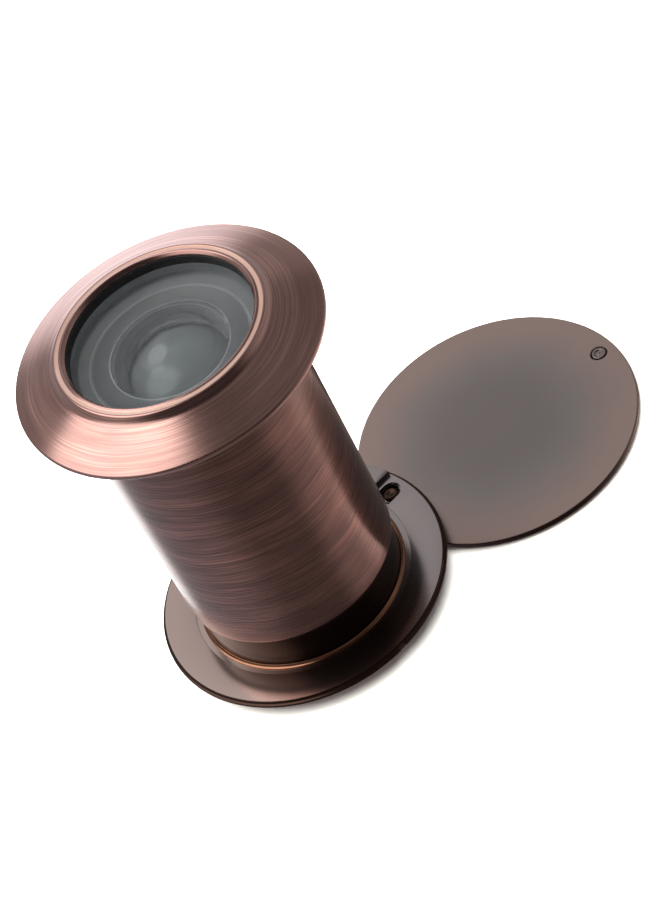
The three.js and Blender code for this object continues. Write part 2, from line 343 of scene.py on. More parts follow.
def brushed_copper(name, stain, tarnish, copper, along, across, streaks, wander, rough, groove):
    """Brushed antique copper. stain, tarnish and copper are hex; along and across are marks per
    radian and per mm; streaks is the share of stain that the brush takes off; wander, how far a
    mark drifts off its circle, and groove, its depth, are in mm."""
    material, tree = new_material(name)
    track = add(tree, "ShaderNodeAttribute", attribute_name="track").outputs["Vector"]

    def stretched(source, around, across, detail):
        """Noise with that many features per radian round the axis and per mm along the outline."""
        scaled = add(tree, "ShaderNodeVectorMath", [(1, (around, around, across))], [(0, source)],
                     operation="MULTIPLY")
        noise = add(tree, "ShaderNodeTexNoise",
                    [("Scale", 1.0), ("Detail", detail), ("Roughness", 0.6)],
                    [("Vector", scaled.outputs[0])])
        return noise.outputs[0]

    def drifted(around, across):
        """The track, moved along the outline by up to half of wander."""
        slow = stretched(track, around, across, 1.0)
        shift = add(tree, "ShaderNodeMath", [(1, wander), (2, -wander / 2)], [(0, slow)],
                    operation="MULTIPLY_ADD")
        upward = add(tree, "ShaderNodeCombineXYZ", [], [("Z", shift.outputs[0])])
        return add(tree, "ShaderNodeVectorMath", [], [(0, track), (1, upward.outputs[0])],
                   operation="ADD").outputs[0]

    fine = stretched(drifted(1.6, 0.2), along, across, 4.0)
    marks = stretched(drifted(1.1, 0.07), along * 0.8, across * 1.3, 1.0)
    broad = stretched(track, 0.9, 0.35, 3.0)
    worn = add(tree, "ShaderNodeMapRange", [("From Min", 0.36), ("From Max", 0.7)],
               [("Value", fine)], interpolation_type="SMOOTHSTEP")
    scratch = add(tree, "ShaderNodeMapRange", [("From Min", 0.66), ("From Max", 0.74)],
                  [("Value", marks)], interpolation_type="SMOOTHSTEP")
    cloud = add(tree, "ShaderNodeMapRange", [("From Min", 0.35), ("From Max", 0.65)],
                [("Value", broad)], interpolation_type="SMOOTHSTEP")
    press = add(tree, "ShaderNodeMath", [(1, streaks), (2, streaks * 0.5)],
                [(0, cloud.outputs[0])], operation="MULTIPLY_ADD")
    swept = add(tree, "ShaderNodeMath", [], [(0, worn.outputs[0]), (1, press.outputs[0])],
                operation="MULTIPLY")
    amount = add(tree, "ShaderNodeMath", [(1, 0.7)],
                 [(0, scratch.outputs[0]), (2, swept.outputs[0])], operation="MULTIPLY_ADD",
                 use_clamp=True)
    ground = add(tree, "ShaderNodeMix", [(6, linear(stain)), (7, linear(tarnish))],
                 [(0, cloud.outputs[0])], data_type="RGBA")
    metal = add(tree, "ShaderNodeMix", [(7, linear(copper))],
                [(0, amount.outputs[0]), (6, ground.outputs[2])], data_type="RGBA")
    roughness = add(tree, "ShaderNodeMapRange",
                    [("To Min", rough + 0.06), ("To Max", rough - 0.05)], [("Value", fine)])
    height = add(tree, "ShaderNodeMath", [(1, 0.5)], [(0, fine), (2, scratch.outputs[0])],
                 operation="MULTIPLY_ADD")
    bump = add(tree, "ShaderNodeBump", [("Strength", 1.0), ("Distance", groove * MM)],
               [("Height", height.outputs[0])])
    tangent = add(tree, "ShaderNodeTangent", direction_type="RADIAL", axis="Z")
    shader = add(tree, "ShaderNodeBsdfPrincipled",
                 [("Metallic", 1.0), ("Anisotropic", 0.7), ("Anisotropic Rotation", 0.25),
                  ("Coat Weight", 0.6), ("Coat Roughness", 0.18)],
                 [("Base Color", metal.outputs[2]), ("Roughness", roughness.outputs[0]),
                  ("Normal", bump.outputs[0]), ("Tangent", tangent.outputs[0])])
    add(tree, "ShaderNodeOutputMaterial", [], [("Surface", shader.outputs[0])])
    return material


BARREL_COPPER = brushed_copper("antique_copper_brushed_barrel", "#6b4c45", "#7b5751", "#c9907e",
                               1.2, 6.5, 0.4, 1.6, 0.26, 0.0022)
FLANGE_COPPER = brushed_copper("antique_copper_brushed_flange", "#94706a", "#a07b74", "#dcaea3",
                               0.8, 6.0, 0.35, 0.5, 0.21, 0.0012)
# Pale copper painted as a highlight on the dip of the flange's lip.
LIP_PAINTED_HIGHLIGHT_COPPER = brushed_copper("antique_copper_painted_lip_highlight", "#eebfac", "#f3cab9",
                             "#fbdfd2", 0.8, 6.0, 0.5, 0.3, 0.28, 0.001)
print("brushed copper:", BARREL_COPPER.name, FLANGE_COPPER.name, LIP_PAINTED_HIGHLIGHT_COPPER.name)

# %% [markdown]
# ## Darkened copper, left smooth
#
# The rosette, the collar, the cover and its stud have the same plating and stain, but nobody
# brushed them. The stain stays whole, a warm grey, and the lacquer flows level. A flat smooth
# plate is a dim mirror, so the rosette shows the barrel in it. Its colour is painted lighter
# towards -X, painted light for the brighter reflection on that side. The cover is a little rougher,
# and its stain is uneven too. Its colour is painted darker and greenish in the middle and lighter
# and pinkish near the rim, painted shading across the flat disc. The rims are painted nearly
# black, a painted shade for their dark edges, and the collar is as dark.

# %% Smooth darkened copper


def dark_copper(name, inner, outer, rough, tint=None, centre=(0, 0), fade=(0, 1)):
    """Darkened copper: inner and outer hex colours by distance from centre, fade in metres."""
    material, tree = new_material(name)
    place = add(tree, "ShaderNodeTexCoord").outputs["Object"]
    cloud = add(tree, "ShaderNodeTexNoise", [("Scale", 110.0), ("Detail", 3.0)],
                [("Vector", place)])
    grain = add(tree, "ShaderNodeTexNoise", [("Scale", 2500.0), ("Detail", 2.0)],
                [("Vector", place)])
    flat = add(tree, "ShaderNodeVectorMath", [(1, (1, 1, 0))], [(0, place)], operation="MULTIPLY")
    away = add(tree, "ShaderNodeVectorMath", [(1, (centre[0], centre[1], 0))],
               [(0, flat.outputs[0])], operation="DISTANCE")
    uneven = add(tree, "ShaderNodeMath", [(1, 0.004)],
                 [(0, cloud.outputs[0]), (2, away.outputs["Value"])], operation="MULTIPLY_ADD")
    share = add(tree, "ShaderNodeMapRange",
                [("From Min", fade[0] + 0.002), ("From Max", fade[1] + 0.002)],
                [("Value", uneven.outputs[0])], interpolation_type="SMOOTHSTEP")
    ramp = add(tree, "ShaderNodeValToRGB", [], [(0, share.outputs[0])])
    ramp.color_ramp.elements[0].color = linear(inner)
    ramp.color_ramp.elements[1].color = linear(outer)
    if tint:
        ramp.color_ramp.elements.new(0.45).color = linear(tint)
    roughness = add(tree, "ShaderNodeMapRange",
                    [("To Min", rough - 0.03), ("To Max", rough + 0.04)],
                    [("Value", cloud.outputs[0])])
    bump = add(tree, "ShaderNodeBump", [("Strength", 0.25), ("Distance", 2e-6)],
               [("Height", grain.outputs[0])])
    shader = add(tree, "ShaderNodeBsdfPrincipled", [("Metallic", 1.0)],
                 [("Base Color", ramp.outputs[0]), ("Roughness", roughness.outputs[0]),
                  ("Normal", bump.outputs[0])])
    add(tree, "ShaderNodeOutputMaterial", [], [("Surface", shader.outputs[0])])
    return material


# The cover's colour runs from darker in the middle to lighter at the rim: painted shading.
COVER_PAINTED_SHADING_COPPER = dark_copper("darkened_copper_satin_cover_painted_shading", "#7e7877", "#9e8b85", 0.4,
                           tint="#88827f", centre=COVER, fade=(0.005, 0.0185))
# The rosette's colour centre lies 20 mm off to +X, so it is painted lighter towards -X: painted
# light.
ROSETTE_PAINTED_LIGHT_COPPER = dark_copper("darkened_copper_glossy_rosette_painted_light", "#958d8d", "#b4a19a", 0.21,
                             centre=(SIGHT[0] + 0.02, SIGHT[1]), fade=(0.014, 0.034))
# Nearly black: the collar, and painted shade on the rims of the rosette and the cover.
COLLAR_COPPER_AND_RIM_SHADE = dark_copper("darkened_copper_collar_and_painted_rim_shade", "#3e2e28", "#4a3932", 0.24,
                            centre=SIGHT)
STUD_COPPER = dark_copper("darkened_copper_smooth_stud", "#857a76", "#857a76", 0.25)
print("darkened copper:", COVER_PAINTED_SHADING_COPPER.name, ROSETTE_PAINTED_LIGHT_COPPER.name, COLLAR_COPPER_AND_RIM_SHADE.name)

# %% [markdown]
# ## Bright copper, steel, ring materials and rubber
#
# The root ring was pressed on after staining, so it kept its copper. The pivot is a steel rivet,
# stained like the plate, with a spring washer of blued steel. The rivet's dark brown is partly its
# stain and partly painted shade for the pocket that its tail sits in. The retainers and the rear
# spacer are black moulded plastic with a fine spark-eroded grain. The front spacer is aluminium
# anodised dark grey, and the gasket is black rubber with a faint bloom.

# %% Small plain materials


def plain(name, code, metallic, low, high, scale, bump_mm):
    """One colour with a grain of its own: over noise of that scale, in cycles per metre, the
    roughness runs from low to high."""
    material, tree = new_material(name)
    place = add(tree, "ShaderNodeTexCoord").outputs["Object"]
    grain = add(tree, "ShaderNodeTexNoise", [("Scale", scale), ("Detail", 3.0)],
                [("Vector", place)])
    shade = add(tree, "ShaderNodeMapRange", [("From Min", 0.3), ("From Max", 0.7),
                                             ("To Min", 0.8), ("To Max", 1.0)],
                [("Value", grain.outputs[0])])
    tone = add(tree, "ShaderNodeMix", [(0, 1.0), (6, linear(code))], [(7, shade.outputs[0])],
               data_type="RGBA", blend_type="MULTIPLY")
    rough = add(tree, "ShaderNodeMapRange", [("To Min", low), ("To Max", high)],
                [("Value", grain.outputs[0])])
    bump = add(tree, "ShaderNodeBump", [("Strength", 0.5), ("Distance", bump_mm * MM)],
               [("Height", grain.outputs[0])])
    shader = add(tree, "ShaderNodeBsdfPrincipled", [("Metallic", metallic)],
                 [("Base Color", tone.outputs[2]), ("Roughness", rough.outputs[0]),
                  ("Normal", bump.outputs[0])])
    add(tree, "ShaderNodeOutputMaterial", [], [("Surface", shader.outputs[0])])
    return material


BRIGHT_COPPER = plain("bright_copper_polished", "#936a54", 1.0, 0.1, 0.2, 900, 0.001)
STEEL = plain("spring_steel_blued", "#6f6a68", 1.0, 0.22, 0.4, 1800, 0.003)
# Dark brown: the rivet's stain, darkened further as painted shade of the pocket round its tail.
RIVET = plain("steel_rivet_stained_brown_with_painted_pocket_shade", "#4d3a31", 1.0, 0.25, 0.4, 1800, 0.003)
BLACK_RING = plain("black_plastic_eroded", "#141415", 0.0, 0.4, 0.6, 3000, 0.006)
GREY_RING = plain("aluminium_anodised_dark_grey", "#6c6e72", 1.0, 0.4, 0.55, 2500, 0.004)
RUBBER = plain("black_rubber_moulded", "#0b0b0c", 0.0, 0.45, 0.6, 2500, 0.004)
print("small materials:", [material.name for material in
                           (BRIGHT_COPPER, STEEL, RIVET, BLACK_RING, GREY_RING, RUBBER)])

# %% [markdown]
# ## Glass, polished and ground
#
# The lenses are crown glass with an IOR of 1.52. The spherical faces are polished; the flat ring
# round each hollow is left finely ground, with a coarser chamfer at its edges, and the outer edge
# is dulled so that it throws no stray light. A pit in ground glass scatters light, so those kinds
# are rough and let little straight through. Their colours are painted light: the near white of the
# ground chamfers is a painted highlight for the bright rings, and the greys of the fine ground
# ring, the dulled edge and the middle of the second lens stand in for the light seen on and
# through the glass.

# %% Lens glass
GLASS_IOR = 1.52


def glass(name, code, thin, roughness, transmission):
    """Crown glass whose colour wavers between the hex codes code and thin; transmission is the
    share of light that goes straight through."""
    material, tree = new_material(name)
    place = add(tree, "ShaderNodeTexCoord").outputs["Object"]
    haze = add(tree, "ShaderNodeTexNoise", [("Scale", 300.0), ("Detail", 2.0)], [("Vector", place)])
    tone = add(tree, "ShaderNodeMix", [(6, linear(code)), (7, linear(thin))],
               [(0, haze.outputs[0])], data_type="RGBA")
    shader = add(tree, "ShaderNodeBsdfPrincipled",
                 [("Roughness", roughness), ("IOR", GLASS_IOR),
                  ("Transmission Weight", transmission)],
                 [("Base Color", tone.outputs[2])])
    add(tree, "ShaderNodeOutputMaterial", [], [("Surface", shader.outputs[0])])
    return material


# The ground white is a painted highlight; the three greys are painted light seen on and through the
# glass.
POLISHED = glass("crown_glass_polished", "#e3edee", "#eef4f4", 0.0, 1.0)
GROUND_PAINTED_HIGHLIGHT = glass("crown_glass_ground_painted_highlight", "#f1f3f4", "#f8fafa", 0.45, 0.1)
HAZED_PAINTED_LIGHT = glass("crown_glass_fine_ground_painted_light", "#8c8e93", "#9a9ca2", 0.3, 0.35)
DULLED_PAINTED_LIGHT = glass("crown_glass_edge_dulled_painted_light", "#b6b8bd", "#c4c6ca", 0.3, 0.1)
GREY_PAINTED_LIGHT_GLASS = glass("crown_glass_painted_grey_light", "#aeafb3", "#bcbdc1", 0.06, 0.12)
print("glass:", POLISHED.name, GROUND_PAINTED_HIGHLIGHT.name, HAZED_PAINTED_LIGHT.name, DULLED_PAINTED_LIGHT.name, GREY_PAINTED_LIGHT_GLASS.name)

# %% [markdown]
# ## Several finishes on one piece
#
# A lens is polished in one place and ground in another, and the flange, the barrel, the rosette
# and the cover have two finishes each. A painted mask could tell them apart, but it would need a
# texture. These pieces are all round, so the height of a face and its distance from the axis are
# enough to say which finish it has.

# %% Zones


def zones(piece, low, high, *edges):
    """Gives each face between two heights the number of the zone that it is in: 0 inside the first
    radius of edges, 1 from there to the second, and so on. Outside the last radius it is 0."""
    mesh = piece.data
    middle = np.empty(len(mesh.polygons) * 3)
    mesh.polygons.foreach_get("center", middle)
    middle = middle.reshape(-1, 3)
    r = np.hypot(middle[:, 0], middle[:, 1])
    between = (middle[:, 2] > low) & (middle[:, 2] < high) & (r < edges[-1])
    index = np.where(between, np.searchsorted(edges[:-1], r), 0)
    mesh.polygons.foreach_set("material_index", index.astype(np.int32))


print("glass and metal pieces take their finishes by", zones.__name__)

# %% [markdown]
# ## The flange
#
# The flange is one turned piece: a lip round the lens, a straight bevel falling to the rim, and a
# flat underside that lies on the door. The lip has a round on each side of a shallow dip. The
# bright lines on the real one are on these rounds, so their radii matter more than anything else
# here. The dip between them is painted pale copper, a painted highlight.

# %% Flange
flange = spun("flange", rounded([
    (11.75, 46.3, 0.05), (12.95, 46.3, 0), (12.95, 45.1, 0), (13.2, 45.1, 0), (13.2, DOOR, 0.05),
    (FLANGE_R, DOOR, 0.3), (FLANGE_R, 44.37, 0.3), (13.5, 46.78, 0.9), (12.95, 47.6, 0.3),
    (12.6, 47.56, 0.3), (12.25, 47.56, 0.2), (11.9, 47.68, 0.2), (11.52, 47.3, 0.1),
], steps=9))
# Faces in the lip's dip take the pale copper, a painted highlight.
zones(flange, 47.3, 47.8, 12.2, 12.7, 13.2)
hand_over(flange, SIGHT, "barrel", "flange_bezel", "brushed_copper",
          FLANGE_COPPER, LIP_PAINTED_HIGHLIGHT_COPPER, FLANGE_COPPER)

# %% [markdown]
# ## The barrel
#
# Below the flange runs the barrel, a plain brushed tube with the lens seat and the female thread
# inside. Its lower edge has a small round that shows against the dark collar. The bore is
# blackened, because bright metal beside the lenses would wash the image out.

# %% Barrel
barrel = spun("barrel", rounded([
    (13.15, 5.6, 0.08), (BARREL_R, 5.6, 0.14), (BARREL_R, 43.4, 0.14), (13.1, 43.4, 0),
    (13.1, 45.0, 0), (SEAT_R, 45.0, 0), (SEAT_R, SEAT_Z, 0), (12.15, SEAT_Z, 0),
    (12.15, 15.0, 0), (13.15, 15.0, 0),
]))
zones(barrel, 5.7, 45.1, 0, 13.2)
hand_over(barrel, SIGHT, "barrel", "outer_barrel", "brushed_copper", BARREL_COPPER, BLACK_RING)

# %% [markdown]
# ## The front lenses and their rings
#
# A door viewer is a telescope turned round: strong hollow lenses in front shrink the street into
# a small image. The objective is nearly flat outside and deeply hollowed behind. The second lens
# repeats that on a smaller scale. Rings keep them apart, and the field stop trims the image. A
# shallow groove round the objective's ground ring shows from the front as a ring of its own.

# %% Front lens stack
gasket = spun("gasket", rounded([
    (11.45, 45.85, 0.06), (12.8, 45.85, 0.05), (12.8, 46.25, 0.05), (11.65, 46.25, 0.03),
    (11.65, 47.05, 0.08), (11.45, 47.05, 0.08),
]))
hand_over(gasket, SIGHT, "lens_stack", "lens_gasket", "black_rubber", RUBBER)

objective = spun("objective", rounded([
    *dome(-9, 45.3, 0, 7.1, 40), (7.25, 41.7, 0), (9.35, 41.7, 0), (9.6, 41.85, 0),
    (9.75, 41.75, 0), (9.85, 41.7, 0), (12.1, 41.7, 0.06), (LENS_R, 41.9, 0.06),
    *dome(-84, 46.55, 0, LENS_R, 16)[::-1],
], hold=0.05))
# The ground chamfers take the painted highlight white, the other ground zones the painted greys.
zones(objective, 41.5, 45.55, 7.1, 7.25, 9.35, 9.6, 9.75, 12.5)
hand_over(objective, SIGHT, "lens_stack", "objective_lens", "optical_glass",
          POLISHED, GROUND_PAINTED_HIGHLIGHT, HAZED_PAINTED_LIGHT, DULLED_PAINTED_LIGHT, GROUND_PAINTED_HIGHLIGHT, DULLED_PAINTED_LIGHT)

second = spun("second_lens_glass", rounded([
    *dome(-7.5, 39.88, 0, 6.2, 36), (LENS_R, 36.6, 0.08), (LENS_R, 40.3, 0.08),
    *dome(-50, 41.04, 0, 8.6, 16)[::-1],
], hold=0.05))
# The middle of the second lens is painted grey all over, painted light seen through it.
zones(second, 36.5, 40.38, 8.65, STACK_R)
hand_over(second, SIGHT, "lens_stack", "second_lens", "optical_glass", GREY_PAINTED_LIGHT_GLASS, GROUND_PAINTED_HIGHLIGHT)


def plain_ring(name, inner, outer, low, high, node, body, finish=BLACK_RING):
    """A square-section ring with small rounds."""
    ring = spun(name, rounded([
        (inner, low, 0.06), (outer, low, 0.06), (outer, high, 0.06), (inner, high, 0.06),
    ]), 192)
    return hand_over(ring, SIGHT, body, node, "blackened_ring", finish)


plain_ring("front_ring", 9, STACK_R, 40.35, 41.65, "front_spacer", "lens_stack", GREY_RING)
plain_ring("rear_ring", 9, STACK_R, 35.95, 36.55, "rear_spacer", "lens_stack")
stop = spun("stop", rounded([
    (5.5, 35.25, 0.03), (STACK_R, 35.25, 0.05), (STACK_R, 35.85, 0.05), (6.0, 35.85, 0.03),
]), 192)
hand_over(stop, SIGHT, "lens_stack", "field_stop", "blackened_ring", BLACK_RING)

# %% [markdown]
# ## The eyepiece tube and what it holds
#
# The barrel screws onto this tube. Its collar is smooth where it shows between the barrel and the
# rosette; above it runs the male thread, which comes into sight when the barrel is unscrewed for
# a thick door. The thread is a real helix: the radius waves with the height less the pitch times
# the turn. It could be cut with a swept tool, but waving the radius needs no cut at all.

# %% Eyepiece tube
PITCH = 1.5


def helix(r, z, a, low=8.1, high=28.7, depth=0.5, core=11.9):
    """The radius of a right-hand thread: r less depth (1 - w) / 2, where w is
    cos(2 pi z / pitch - a), flattened by tanh at crest and root. It fades out at both ends."""
    wave = np.tanh(1.6 * np.cos(2 * math.pi * z / PITCH - a)) / math.tanh(1.6)
    fade = np.clip((z - low) / 0.8, 0, 1) * np.clip((high - z) / 0.8, 0, 1)
    return r + np.where(r > core, depth * fade * (wave - 1) / 2, 0)


def with_rows(path, low, high, spacing=0.09):
    """The outline with many more points on its upright stretch between two heights."""
    rise = np.roll(path, -1, axis=0) - path
    long = (np.abs(rise[:, 0]) < 1e-6) & (np.abs(rise[:, 1]) > 3)
    middle = path[:, 1] + rise[:, 1] / 2
    at = int(np.flatnonzero(long & (middle > low) & (middle < high))[0])
    count = int(abs(rise[at, 1]) / spacing)
    fill = path[at] + rise[at] * np.linspace(0, 1, count, endpoint=False)[1:, None]
    return np.insert(path, at + 1, fill, axis=0)


tube_outline = with_rows(rounded([
    (9.4, PLATE_BOTTOM, 0.08), (13.8, PLATE_BOTTOM, 0.08), (13.8, -0.85, 0.05),
    (COLLAR_R, -0.85, 0), (COLLAR_R, 7.6, 0.1), (12.6, COLLAR_TOP, 0.1),
    (THREAD_R, COLLAR_TOP, 0), (THREAD_R, 28.7, 0), (11.75, TUBE_TOP, 0.08),
    (10.6, TUBE_TOP, 0.05), (10.6, 2.0, 0), (8.6, 2.0, 0.05), (8.6, -0.8, 0.1),
]), 10, 27)
tube = spun("tube", tube_outline, 192, push=helix)
hand_over(tube, SIGHT, "eyepiece_unit", "eyepiece_tube", "dark_copper", COLLAR_COPPER_AND_RIM_SHADE)

# %% [markdown]
# ## Root ring and inner lenses
#
# The root ring is pressed round the collar where it meets the rosette. Inside the tube, from the
# room towards the street, are the eyepiece lens, which bulges on both sides, a retaining ring, a
# black sleeve against stray light, and the relay lens, which is hollow on both sides. All of them
# are outlines turned about the sight line, like the front lenses.

# %% Root ring, eyepiece and relay lenses
root = spun("root", rounded([
    (13.05, -0.07, 0), (13.5, -0.07, 0.02), (13.5, 0.06, 0.03), (13.3, 0.14, 0.2),
    (13.17, 0.4, 0.04), (13.05, 0.4, 0),
], hold=0.03))
hand_over(root, SIGHT, "eyepiece_unit", "root_ring", "bright_copper", BRIGHT_COPPER)

eyepiece = spun("eyepiece", rounded([
    *dome(30, 0.9, 0, 10.4, 32), *dome(-30, 6.1, 0, 10.4, 32)[::-1],
], hold=0.05), 192)
zones(eyepiece, 2, 6, 10.35, TUBE_RING_R)
hand_over(eyepiece, SIGHT, "eyepiece_unit", "eyepiece_lens", "optical_glass", POLISHED, GROUND_PAINTED_HIGHLIGHT)

relay = spun("relay", rounded([
    *dome(-30, 23.46, 0, 8.6, 24), (10.4, 22.2, 0.08), (10.4, 25.9, 0.08),
    *dome(30, 24.64, 0, 8.6, 24)[::-1],
], hold=0.05), 192)
zones(relay, 22, 26, 8.65, TUBE_RING_R)
hand_over(relay, SIGHT, "eyepiece_unit", "relay_lens", "optical_glass", POLISHED, GROUND_PAINTED_HIGHLIGHT)

plain_ring("eyepiece_ring", 9.1, TUBE_RING_R, 4.95, 6.4, "eyepiece_retainer", "eyepiece_unit")
plain_ring("sleeve", 9.9, TUBE_RING_R, 6.5, 22.1, "baffle_sleeve", "eyepiece_unit")

# %% [markdown]
# ## The slotted ring
#
# The relay lens is held by a ring that is screwed in with a tool across its slot. One long block
# cuts both halves of the slot at once, so they line up.

# %% Slotted retaining ring
slotted = spun("slotted_ring", rounded([
    (8.8, 26, 0.06), (TUBE_RING_R, 26, 0.06), (TUBE_RING_R, 28.4, 0.06), (8.8, 28.4, 0.06),
]), 192)
slot_plan = np.array([(-12, -0.8), (12, -0.8), (12, 0.8), (-12, 0.8)])
carve(slotted, prism("slot_tool", slot_plan, 27.6, 29))
hand_over(slotted, SIGHT, "eyepiece_unit", "relay_retainer", "blackened_ring", BLACK_RING)

# %% [markdown]
# ## The rosette
#
# The rosette is a thin stamped plate. Beside the cover's pivot its door side rises to a low land
# with a straight edge, and a small pocket is sunk for the rivet's tail. Two spanner notches are
# nicked into the rim. The round part is turned, the land is a prism joined on, and the pocket,
# the rivet hole and the notches are cut.

# %% Rosette


def sector(inner, outer, edge, end, steps=28):
    """A ring sector from the straight line y = edge round to the angle end, anticlockwise, in mm.
    On a circle of radius r the line is met at the angle asin(edge / r)."""
    out = np.linspace(math.asin(edge / outer), end, steps)
    back = np.linspace(end, math.asin(edge / inner), steps)
    far = np.column_stack([outer * np.cos(out), outer * np.sin(out)])
    near = np.column_stack([inner * np.cos(back), inner * np.sin(back)])
    return np.concatenate([far, near])


def keyhole(start, centre, half, steps=24):
    """A slot from x = start with a half-round end about (centre, 0), anticlockwise, in mm."""
    a = np.linspace(-math.pi / 2, math.pi / 2, steps)
    cap = np.column_stack([centre + half * np.cos(a), half * np.sin(a)])
    return np.concatenate([[(start, -half)], cap, [(start, half)]])


def soften(piece, width, steps=3):
    """Rounds a prism's edges by width, in mm."""
    edge = piece.modifiers.new("soften", "BEVEL")
    edge.width = width
    edge.segments = steps
    edge.limit_method = "ANGLE"
    settle(piece)


rosette = spun("rosette_plate", rounded([
    (13.9, PLATE_BOTTOM, 0.05), (17.8, PLATE_BOTTOM, 0.1), (18.7, -0.7, 0.1), (18.68, -0.42, 0.06),
    (18.42, -0.34, 0.04), (18.36, -0.1, 0.04), (18.26, 0, 0.05), (14.2, 0, 0.03),
    (14.2, -0.1, 0), (13.1, -0.1, 0), (13.1, -0.8, 0), (13.9, -0.8, 0),
]))
land = prism("land", sector(14.3, 18.2, 2.1, math.radians(75)), -0.3, 0.6)
soften(land, 0.07)
carve(rosette, land, "UNION")
carve(rosette, prism("pocket_tool", keyhole(14.35, 16.2, 1.35), -0.9, 0.2))
carve(rosette, spun("hole_tool", rounded([(0, -3, 0), (0.8, -3, 0), (0.8, 1, 0), (0, 1, 0)]), 48))
print("rosette cut:", len(rosette.data.polygons), "faces")
for y in (18.3, -20.3):
    notch_plan = np.array([(-0.55, y), (0.55, y), (0.55, y + 2), (-0.55, y + 2)])
    carve(rosette, prism("notch_tool", notch_plan, -1.3, -0.3))
merge_level(rosette)
# The rim beyond 18.22 mm takes the near-black copper, a painted shade.
zones(rosette, -1.7, 0.01, 18.22, 19)
hand_over(rosette, SIGHT, "eyepiece_unit", "rosette", "dark_copper", ROSETTE_PAINTED_LIGHT_COPPER, COLLAR_COPPER_AND_RIM_SHADE)

# %% [markdown]
# ## The cover
#
# The cover is a stamped disc, flat, with its edges just broken. It has a hole for its rivet and,
# opposite, one for the stud. The tool for a hole is a turned piece itself, so that it can widen
# the hole a little at both mouths, as a countersink does.

# %% Cover disc


def mouth(radius, axis):
    """A tool for a hole with slightly widened mouths, about an upright axis given in metres."""
    tool = spun("mouth_tool", rounded([
        (0, -2.9, 0), (radius + 0.28, -2.9, 0), (radius, -2.62, 0), (radius, -1.93, 0),
        (radius + 0.28, -1.65, 0), (0, -1.65, 0),
    ]), 64)
    offset = ((axis[0] - COVER[0]) / MM, (axis[1] - COVER[1]) / MM, 0)
    tool.data.transform(Matrix.Translation(offset))
    return tool


disc = spun("disc", rounded([
    (0, COVER_BOTTOM, 0), (COVER_R, COVER_BOTTOM, 0.12), (COVER_R, COVER_TOP, 0.14),
    (0, COVER_TOP, 0),
]))
carve(disc, mouth(RIVET_HOLE_R, PIVOT))
carve(disc, mouth(STUD_HOLE_R, STUD))
# The disc's side wall takes the near-black copper, a painted shade for its dark edge.
zones(disc, -2.65, -1.9, 18.5, 19)
hand_over(disc, COVER, "cover", "cover_disc", "dark_copper", COVER_PAINTED_SHADING_COPPER, COLLAR_COPPER_AND_RIM_SHADE)

# %% [markdown]
# ## What the cover turns on
#
# The rivet through the rosette carries the cover; a spring washer under the rivet's tail gives it
# the drag that holds it open. The stud is staked through the disc: its head is the finger grip on
# the room side, and its tail shows on this side as a small ringed dot in a dark gap. Each is one
# outline turned about its own axis.

# %% Stud, rivet and spring washer
stud = spun("stud", rounded([
    (0, -3.3, 0), (1.2, -3.26, 0.4), (1.7, -2.98, 0.16), (1.7, -2.75, 0.05), (0.92, -2.75, 0),
    (0.92, -1.83, 0.08), (0.6, -1.83, 0.06), (0.5, -1.95, 0.05), (0.22, -1.95, 0.05), (0, -1.9, 0),
]), 96)
hand_over(stud, STUD, "cover", "finger_stud", "dark_copper", STUD_COPPER)

rivet = spun("rivet", rounded([
    (0, -3.3, 0), (1.05, -3.25, 0.35), (1.6, -3.02, 0.18), (1.6, -2.78, 0.05), (0.72, -2.78, 0),
    (0.72, -0.62, 0), (1.05, -0.62, 0.05), (1.05, -0.42, 0.12), (0.75, -0.25, 0.1),
    (0.45, -0.3, 0.1), (0.2, -0.38, 0.06), (0, -0.38, 0),
]), 96)
hand_over(rivet, PIVOT, "eyepiece_unit", "pivot_rivet", "steel", RIVET)

washer = spun("washer", rounded([
    (0.82, -0.75, 0.02), (1.2, -0.87, 0.02), (1.2, -0.78, 0.02), (0.82, -0.66, 0.02),
], steps=3), 96)
hand_over(washer, PIVOT, "eyepiece_unit", "spring_washer", "steel", STEEL)

# %% [markdown]
# ## The studio
#
# The object stands on a white table, lit so brightly that it goes white. Two large soft lamps in
# one place overhead light it. Glass would mirror the lamps as a bright spot in the objective's
# hollow, so only the weaker lamp is seen through glass, and metal sees neither.

# %% Table and lamps
HALF = 1.5
corners = np.array([(-HALF, -HALF, 0), (HALF, -HALF, 0), (HALF, HALF, 0), (-HALF, HALF, 0)])
table = mesh_from("table_top", corners, [[0, 1, 2, 3]])
paper, tree = new_material("white_paper_matt")
fibre = add(tree, "ShaderNodeTexNoise", [("Scale", 900.0), ("Detail", 3.0)],
            [("Vector", add(tree, "ShaderNodeTexCoord").outputs["Object"])])
white = add(tree, "ShaderNodeMix", [(6, linear("#f7f7f4")), (7, linear("#fdfdfa"))],
            [(0, fibre.outputs[0])], data_type="RGBA")
shader = add(tree, "ShaderNodeBsdfPrincipled", [("Roughness", 0.9), ("Specular IOR Level", 0.1)],
             [("Base Color", white.outputs[2])])
add(tree, "ShaderNodeOutputMaterial", [], [("Surface", shader.outputs[0])])
table.data.materials.append(paper)
table.visible_glossy = False

LAMP_SIZE = 1.4
LAMP_PLACE = (-0.15, 0.1, 0.9)


def overhead(name, watts, through_glass):
    """A soft round lamp overhead that metals do not mirror; the stronger one skips the glass."""
    lamp = bpy.data.objects.new(name, bpy.data.lights.new(name, "AREA"))
    lamp.data.shape = "DISK"
    lamp.data.size = LAMP_SIZE
    lamp.data.energy = watts
    lamp.data.color = linear("#fffdf8")[:3]
    lamp.location = LAMP_PLACE
    lamp.visible_glossy = False
    lamp.visible_camera = False
    lamp.visible_transmission = through_glass
    bpy.context.scene.collection.objects.link(lamp)


